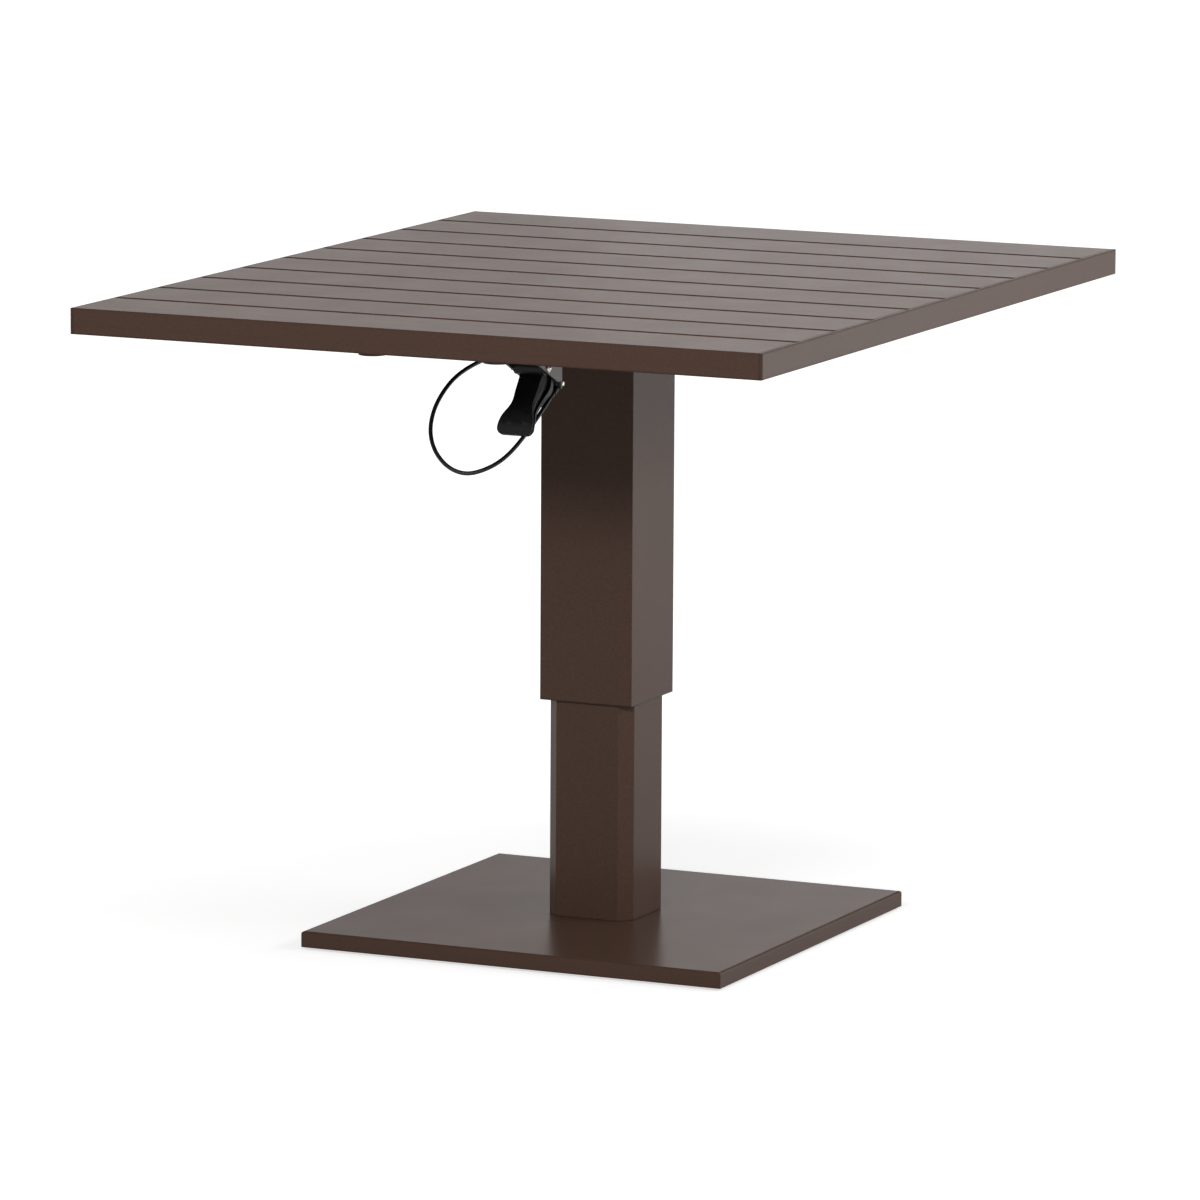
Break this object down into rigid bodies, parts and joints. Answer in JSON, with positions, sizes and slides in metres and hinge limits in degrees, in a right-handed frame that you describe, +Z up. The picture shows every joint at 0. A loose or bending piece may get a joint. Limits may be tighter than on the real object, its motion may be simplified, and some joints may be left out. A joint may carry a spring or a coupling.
{
  "type": "telescoping pedestal table",
  "caption": "Pedestal table with a slatted rectangular top on a square telescoping column and a heavy square base; a hand lever under the top unlocks its gas spring.",
  "frame": {"origin": "on the floor, on the column's axis, under the middle of the base plate", "axes": "+Z up along the column; +X along the slats; -Y towards the long side's front, where the lever is"},
  "size_m": [0.8, 0.99, 0.725],
  "materials": {
    "coated_aluminium": "fine-grained dark brown powder coat on aluminium",
    "coated_steel": "fine-grained dark brown powder coat on steel",
    "dark_steel": "black-passivated pressed steel",
    "zinc_steel": "zinc-plated pressed steel",
    "bright_steel": "bright plated steel",
    "chromed_rod": "hard-chromed rod",
    "painted_cylinder": "black painted tube",
    "moulded_plastic": "moulded black plastic",
    "handle_plastic": "moulded black plastic with a fine grain",
    "cable_sheath": "smooth black cable sheath"
  },
  "bodies": {
    "base": {"base_plate": "coated_steel", "base_glides": "moulded_plastic", "foot_plate": "zinc_steel", "foot_bolts": "bright_steel", "lower_tube": "coated_steel", "upper_guide": "moulded_plastic", "gas_cylinder": "painted_cylinder", "gas_rod_guide": "moulded_plastic", "gas_stud_nut": "bright_steel"},
    "top": {"slat_01": "coated_aluminium", "slat_02": "coated_aluminium", "slat_03": "coated_aluminium", "slat_04": "coated_aluminium", "slat_05": "coated_aluminium", "slat_06": "coated_aluminium", "slat_07": "coated_aluminium", "slat_08": "coated_aluminium", "slat_09": "coated_aluminium", "slat_10": "coated_aluminium", "side_skirt_left": "coated_aluminium", "side_skirt_right": "coated_aluminium", "support_rail_left": "coated_aluminium", "support_rail_right": "coated_aluminium", "upper_tube": "coated_steel", "head_plate": "coated_steel", "lever_bracket": "dark_steel", "release_housing": "zinc_steel", "slat_screws": "bright_steel", "head_bolts": "bright_steel", "gas_rod_nuts": "bright_steel", "housing_screws": "bright_steel", "crank_pin": "bright_steel", "column_ferrule": "bright_steel", "bracket_screws": "bright_steel", "pivot_bolt": "bright_steel", "pivot_nut": "bright_steel", "lever_wire": "bright_steel", "gas_rod": "chromed_rod", "rail_end_caps": "moulded_plastic", "lower_guide": "moulded_plastic", "cable_bush": "moulded_plastic", "release_cable": "cable_sheath"},
    "lever": {"lever_handle": "handle_plastic", "lever_ferrule": "moulded_plastic"},
    "bell_crank": {"bell_crank": "zinc_steel"},
    "pull_wire": {"pull_wire": "bright_steel"},
    "release_pin": {"release_pin": "bright_steel"}
  },
  "joints": [
    {"name": "height_slide", "type": "slide", "parent": "base", "child": "top", "axis": [0, 0, 1], "range_m": [-0.225, 0]},
    {"name": "lever_lift", "type": "hinge", "parent": "top", "child": "lever", "pos_m": [0.0725, -0.3525, 0.6735], "axis": [-1, 0, 0], "range_deg": [0, 13], "stiffness_Nm_per_rad": 0.8, "springref_deg": -5.73, "deforming": ["release_cable", "lever_wire"]},
    {"name": "crank_swing", "type": "hinge", "parent": "top", "child": "bell_crank", "pos_m": [0, 0.009, 0.64401], "axis": [1, 0, 0], "range_deg": [0, 21]},
    {"name": "wire_pull", "type": "slide", "parent": "top", "child": "pull_wire", "axis": [0, -1, 0], "range_m": [0, 0.0092]},
    {"name": "pin_press", "type": "slide", "parent": "top", "child": "release_pin", "axis": [0, 0, -1], "range_m": [0, 0.0033]}
  ],
  "couplings": [
    {"joint": "crank_swing", "follows": "lever_lift", "ratio": 1.51},
    {"joint": "wire_pull", "follows": "lever_lift", "m_per_rad": 0.03757},
    {"joint": "pin_press", "follows": "lever_lift", "m_per_rad": 0.01333}
  ]
}
